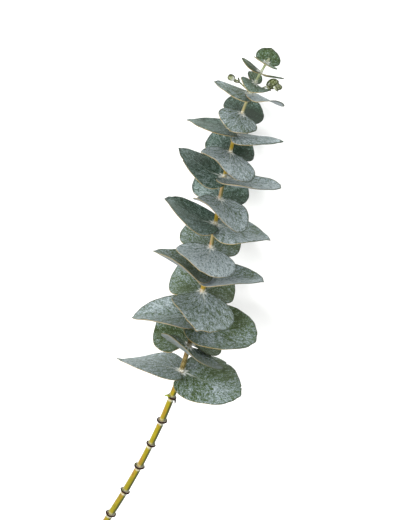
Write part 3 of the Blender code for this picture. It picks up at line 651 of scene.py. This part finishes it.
def leaf_skin(name, dark, olive, middle, pale, underside):
    """Living leaf under a bloom of wax: dull and mealy (typical roughness 0.7, IOR 1.42) and blue grey where
    the wax lies, and green and smoother (roughness 0.5) where fingers or other leaves have rubbed it off.
    The colours run from dark, where no wax is left, over olive and middle to pale, where all of it is."""
    made, tree, shader = new_material(name)
    place = add(tree, "TexCoord", out="Object")
    blade = add(tree, "Attribute", attribute_name="blade", out="Vector")
    x, y, upper_side = add(tree, "SeparateXYZ", blade, out=None)
    edge = add(tree, "Attribute", attribute_name="edge", out="Vector")
    to_rim, facing_light, star = add(tree, "SeparateXYZ", edge, out=None)
    veined = add(tree, "Attribute", attribute_name="veined", out="Vector")
    midrib, side_vein, wax = add(tree, "SeparateXYZ", veined, out=None)
    # streaks fan out from the base, read at the angle and distance from it, about 1 mm wide halfway out
    angle = add(tree, "Math", x, add(tree, "Math", y, 3.0, operation="ADD"), operation="ARCTAN2")
    distance = add(tree, "VectorMath", blade, operation="LENGTH", out="Value")
    fan = add(tree, "CombineXYZ", angle, distance, wax)
    fan = add(tree, "VectorMath", fan, (14.0, 0.16, 9.0), operation="MULTIPLY")
    streak = add(tree, "TexNoise", fan, Scale=1.6, Detail=3.0, Roughness=0.65, Distortion=0.4)
    # rubbed patches about 13 mm across, crumbs of wax drawn 1.1 mm across to show, and grains of 0.6 mm
    rubbed = add(tree, "TexNoise", place, Scale=75.0, Detail=2.5, Roughness=0.55, Distortion=0.6)
    crumbs = add(tree, "TexNoise", place, Scale=900.0, Detail=3.0, Roughness=0.7, Distortion=0.5)
    grains = add(tree, "TexNoise", place, Scale=1700.0, Detail=2.0, Roughness=0.6)
    # the wax also carries painted shade: it is lower on leaves and on halves of leaves that lie in shade
    amount = wax
    for pattern, weight in ((rubbed, 0.25), (crumbs, 1.6), (streak, 1.4), (grains, 1.4)):
        level = add(tree, "Math", pattern, 0.5, operation="SUBTRACT")
        amount = add(tree, "Math", level, weight, amount, operation="MULTIPLY_ADD")
    amount = add(tree, "Math", side_vein, -0.22, amount, operation="MULTIPLY_ADD")
    colours = add(tree, "ValToRGB", amount)
    stops = colours.node.color_ramp.elements
    stops[0].position, stops[0].color = 0.0, linear(dark)
    stops[1].position, stops[1].color = 1.0, linear(pale)
    for position, code in ((0.26, olive), (0.5, middle)):
        stops.new(position).color = linear(code)
    speckled = add(tree, "MixRGB", add(tree, "MapRange", crumbs, 0.47, 0.64, 0.0, 0.75), underside, dark)
    below = add(tree, "MapRange", upper_side, 0.45, 0.05, 0.0, 0.55)
    skin = add(tree, "MixRGB", below, colours, speckled)
    # small dark spots, about 1 mm across and 4 to 8 mm apart, where a drop or a scratch took the wax
    spots = add(tree, "TexNoise", place, Scale=420.0, Detail=1.5, Roughness=0.6)
    skin = add(tree, "MixRGB", add(tree, "MapRange", spots, 0.6, 0.68, 0.0, 0.6), skin, dark)
    rib = add(tree, "MapRange", upper_side, 0.45, 0.05, 0.18, 0.8)
    skin = add(tree, "MixRGB", add(tree, "Math", midrib, rib, operation="MULTIPLY"), skin, "#a9b09a")
    # white wax lies thick in the joint with the stem
    skin = add(tree, "MixRGB", add(tree, "Math", star, 0.95, operation="MULTIPLY"), skin, "#dcdfd9")
    # painted shade: along rims that face away from the light the blade darkens to dark green, in a band of
    # about a millimetre
    band = add(tree, "MapRange", to_rim, 1.3, 0.4)
    band = add(tree, "Math", band, facing_light, operation="SUBTRACT", use_clamp=True)
    skin = add(tree, "MixRGB", add(tree, "Math", band, 0.75, operation="MULTIPLY"), skin, dark)
    # the rim is a line of gristle about 0.3 mm wide, tan where it faces the light and painted dark green, as
    # shade, where it faces away
    rim = add(tree, "MapRange", add(tree, "Math", crumbs, 0.25, to_rim, operation="MULTIPLY_ADD"), 0.48, 0.28)
    gristle = add(tree, "MixRGB", facing_light, dark, add(tree, "MixRGB", rubbed, "#7c6534", "#ab9a6c"))
    shown = add(tree, "MapRange", facing_light, 0.0, 1.0, 0.85, 0.95)
    skin = add(tree, "MixRGB", add(tree, "Math", rim, shown, operation="MULTIPLY"), skin, gristle)
    tree.links.new(skin, shader.inputs["Base Color"])
    tree.links.new(add(tree, "MapRange", amount, 0.1, 0.8, 0.5, 0.75), shader.inputs["Roughness"])
    height = add(tree, "Math", streak, 0.8, crumbs, operation="MULTIPLY_ADD")
    tree.links.new(add(tree, "Bump", Strength=0.5, Distance=0.0003, Height=height), shader.inputs["Normal"])
    shader.inputs["IOR"].default_value = 1.42
    shader.inputs["Specular IOR Level"].default_value = 0.3
    return made


old_skin = leaf_skin("waxy_old_leaf", "#2a3816", "#4f603d", "#6b7979", "#adb8bb", "#6f7076")
# painted shade: a darker, bluer copy of the old leaves' skin for the leaves that lie in shade
painted_shade_skin = leaf_skin("waxy_leaf_painted_shade", "#1e2f20", "#405745", "#647772", "#a7b5b4", "#697370")
young_skin = leaf_skin("waxy_young_leaf", "#1f2f10", "#43572b", "#5f7368", "#a5b3b0", "#434f2e")
for name, leaf in LEAVES.items():
    place, inner = leaf_frame(leaf)
    points, faces, numbers = blade_solid(leaf, inner, place, TEARS.get(name, ()), GROUND)
    blade = add_mesh("blade_" + name, points, faces)
    mark(blade, "blade", numbers[:3])
    mark(blade, "edge", numbers[3:6])
    mark(blade, "veined", (*numbers[6:8], bloom(leaf, *numbers[:2], WAX_RUBS_AND_SHADE.get(name, ()))))
    waxy_skin = painted_shade_skin if name in LEAVES_IN_PAINTED_SHADE else old_skin
    blade.data.materials.append(waxy_skin if leaf.pair <= WAXY_PAIRS else young_skin)
    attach(blade, "root")
    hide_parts("leaf_" + name)

# The side shoots: two soft new shoots from the thirteenth pair, each a thin stalk with four small leaves
# that haven't opened flat. They are olive, and pale green where the first wax lies.

# places: the stalk's own, across and along the stem, and up from its middle; radius: at its base
Shoot = namedtuple("Shoot", "places radius leaves")
# place: the share of the stalk at which the leaf sits; turn round it; rise toward its tip
ShootLeaf = namedtuple("ShootLeaf", "place length width turn rise wax")
SHOOTS = {
    "side_shoot_left": Shoot(
        ((-10.8, 132.8, 0.0), (-15.5, 135.2, 0.3), (-18.5, 136.8, 0.5), (-21.2, 137.8, 0.7),
         (-23.0, 138.2, 0.8)),
        0.55,
        (
            ShootLeaf(0.5, 3.5, 3.0, 90, 45, 0.2),
            ShootLeaf(0.5, 4.0, 3.5, 270, 50, 0.1),
            ShootLeaf(0.85, 5.5, 4.5, 10, 60, 0.6),
            ShootLeaf(0.85, 5.0, 4.0, 190, 65, 0.5),
        ),
    ),
    "side_shoot_right": Shoot(
        ((-7.4, 132.8, 0.2), (-5.0, 135.4, 0.2), (-2.6, 138.6, 0.2), (0.0, 141.2, 1.2), (2.8, 143.0, 2.8),
         (5.4, 144.0, 4.2)),
        0.55,
        (
            ShootLeaf(0.55, 8.5, 7.5, 180, 50, 0.4),
            ShootLeaf(0.55, 6.0, 5.5, 0, 40, 0.7),
            ShootLeaf(0.86, 6.0, 5.5, 190, 60, 0.6),
            ShootLeaf(0.86, 5.0, 5.0, 10, 60, 0.7),
        ),
    ),
}
STALK_RINGS = 40
STALK_SIDES = 16
STALK_THINNING = 0.4
STALK_SOFTENING = (-0.06, -0.03, 0, 0.03, 0.06)
SHOOT_LEAF_INSIDE = 0.2
# a small blade, still half folded: its cup and its bend are 0.2, and all else is plain
FOLDED_LEAF = Leaf(1, 0, 0, 0, 0, 0, 0, 0.2, 0, 0.2, 0, 0, 0, 0, 0, 0)
# the rims of leaves that are still folded are painted as facing the light less, so they get more painted
# shade and less tan; their fifth row of numbers is how much they face the light
SHOOT_FACING_LIGHT = 0.3
LIGHT_ROW = 4


def stalk_line(shoot, share):
    """A point of the stalk, from 0 at its base to 1 at its tip, straight between its places."""
    places = np.array(shoot.places, float)
    places[:, 2] += stem_line(places[:, 1])[:, 2]
    steps = np.linspace(0, 1, len(places))
    return np.stack([np.interp(share, steps, places[:, axis]) for axis in range(3)], -1)


def stalk_skin(shoot):
    """Rings round the stalk's line, which is the mean of five that are moved along it a little, so that its
    bends turn soft. The rings thin by STALK_THINNING and shrink to nothing at both ends."""
    share = np.linspace(0, 1, STALK_RINGS)
    line = np.mean([stalk_line(shoot, np.clip(share + step, 0, 1)) for step in STALK_SOFTENING], 0)
    along = unit(np.gradient(line, axis=0))
    up = unit(np.array([0, 0, 1.0]) - along[:, 2:] * along)
    right = np.cross(along, up)
    closing = np.sqrt(np.clip(1 - (2 * share - 1) ** 40, 0, 1))
    radius = shoot.radius * (1 - STALK_THINNING * share) * closing
    angle = np.linspace(0, 2 * math.pi, STALK_SIDES, endpoint=False)
    spoke = np.cos(angle)[None, :, None] * up[:, None] + np.sin(angle)[None, :, None] * right[:, None]
    return line[:, None] + radius[:, None, None] * spoke


def shoot_leaf_frame(shoot, leaf):
    """Where a small blade starts on the stalk and its across, outward and normal directions there."""
    base = stalk_line(shoot, np.array(leaf.place))
    along = unit(stalk_line(shoot, min(leaf.place + 0.1, 1)) - stalk_line(shoot, leaf.place - 0.1))
    up = unit(np.array([0, 0, 1.0]) - along[2] * along)
    turn, rise = math.radians(leaf.turn), math.radians(leaf.rise)
    outward = math.cos(turn) * up + math.sin(turn) * np.cross(along, up)
    midrib = math.cos(rise) * outward + math.sin(rise) * along
    side = np.cross(along, outward)
    return base, side, midrib, np.cross(midrib, side)


shoot_skin = leaf_skin("new_shoot_leaf", "#20280a", "#535c2a", "#848e60", "#d2d8b8", "#6f7448")
for name, shoot in SHOOTS.items():
    all_points = [stalk_skin(shoot).reshape(-1, 3)]
    all_faces = [tube_faces(STALK_RINGS, STALK_SIDES)[:, ::-1]]
    # the stalk's own numbers: its upper side, far from any rim, midrib or joint, with a little wax
    all_numbers = [np.outer((3, 3, 1, 3, 0, 0, 0, 0, 0.15), np.ones(STALK_RINGS * STALK_SIDES))]
    for leaf in shoot.leaves:
        shape = FOLDED_LEAF._replace(length=leaf.length, width=leaf.width, wax=leaf.wax)
        points, faces, numbers = blade_solid(shape, SHOOT_LEAF_INSIDE, shoot_leaf_frame(shoot, leaf))
        all_faces.append(faces + sum(len(p) for p in all_points))
        all_points.append(points)
        numbers[LIGHT_ROW] = numbers[LIGHT_ROW] * SHOOT_FACING_LIGHT
        all_numbers.append(np.array([*numbers, bloom(shape, *numbers[:2], ())]))
    points, faces = np.concatenate(all_points), np.concatenate(all_faces)
    twig = add_mesh(name.replace("side_shoot", "new_shoot"), points, faces)
    for number, attribute in enumerate(("blade", "edge", "veined")):
        mark(twig, attribute, np.concatenate(all_numbers, 1)[3 * number:3 * number + 3])
    twig.data.materials.append(shoot_skin)
    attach(twig, "root")
    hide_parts(name)

# The table: a wide matt board painted off-white. It is the ground that the lower leaves rest on, and isn't
# part of the branch.
table_mesh = bpy.data.meshes.new("table_top")
table_mesh.from_pydata([(-3, -3, 0), (3, -3, 0), (3, 3, 0), (-3, 3, 0)], [], [(0, 1, 2, 3)])
table = bpy.data.objects.new("table_top", table_mesh)
bpy.context.scene.collection.objects.link(table)
paint, paint_tree, paint_shader = new_material("off_white_board")
# brushed paint is a little uneven, in patches of about 30 cm
tone = add(paint_tree, "TexNoise", add(paint_tree, "TexCoord", out="Object"), Scale=3.0, Detail=2.0)
paint_tree.links.new(add(paint_tree, "MixRGB", tone, "#f8f8f7", "#fcfcfb"), paint_shader.inputs["Base Color"])
paint_shader.inputs["Roughness"].default_value = 0.9
table_mesh.materials.append(paint)

# Light and camera: a white studio, with one broad lamp from the upper left and a weaker one from the right.
# The camera looks down on the branch from its tip side, and is rolled as the photograph is.
world = bpy.data.worlds.new("white_studio")
world.use_nodes = True
world.node_tree.nodes["Background"].inputs[0].default_value = linear("#ffffff")
world.node_tree.nodes["Background"].inputs[1].default_value = 1.05
bpy.context.scene.world = world
bpy.context.scene.view_settings.view_transform = "Standard"
TARGET = np.array([0, 0, 42.0]) - MIDDLE
DISTANCE = 1200.0
TILT = math.radians(38)
ROLL = math.radians(19)
# the lens's length over the height of the picture, both in the photograph's pixels
LENS_OVER_SENSOR = 1714.3 / 520


def add_lamp(name, azimuth, elevation, distance, size, power):
    """A square lamp that faces the branch, placed by its azimuth from +X toward +Y and its elevation."""
    data = bpy.data.lights.new(name, "AREA")
    data.size = size
    data.energy = power
    lamp = bpy.data.objects.new(name, data)
    a, e = math.radians(azimuth), math.radians(elevation)
    back = np.array([math.cos(a) * math.cos(e), math.sin(a) * math.cos(e), math.sin(e)])
    side = unit(np.cross(np.array([0, 0, 1.0]), back))
    axes = np.stack([side, np.cross(back, side), back, TARGET * MM + back * distance], 1)
    lamp.matrix_world = Matrix([*axes.tolist(), [0, 0, 0, 1]])
    bpy.context.scene.collection.objects.link(lamp)


add_lamp("key_lamp", 155, 46, 1.6, 0.9, 25)
add_lamp("fill_lamp", 20, 60, 1.8, 1.4, 8)

back = np.array([0, math.sin(TILT), math.cos(TILT)])
tipward = np.array([0, math.cos(TILT), -math.sin(TILT)])
image_right = math.cos(ROLL) * np.array([1.0, 0, 0]) + math.sin(ROLL) * tipward
image_up = math.cos(ROLL) * tipward - math.sin(ROLL) * np.array([1.0, 0, 0])
eye = (TARGET + DISTANCE * back) * MM
camera_data = bpy.data.cameras.new("camera")
camera_data.sensor_fit = "VERTICAL"
camera_data.sensor_height = 36
camera_data.lens = 36 * LENS_OVER_SENSOR
camera = bpy.data.objects.new("camera", camera_data)
camera.matrix_world = Matrix([*np.stack([image_right, image_up, back, eye], 1).tolist(), [0, 0, 0, 1]])
bpy.context.scene.collection.objects.link(camera)
bpy.context.scene.camera = camera
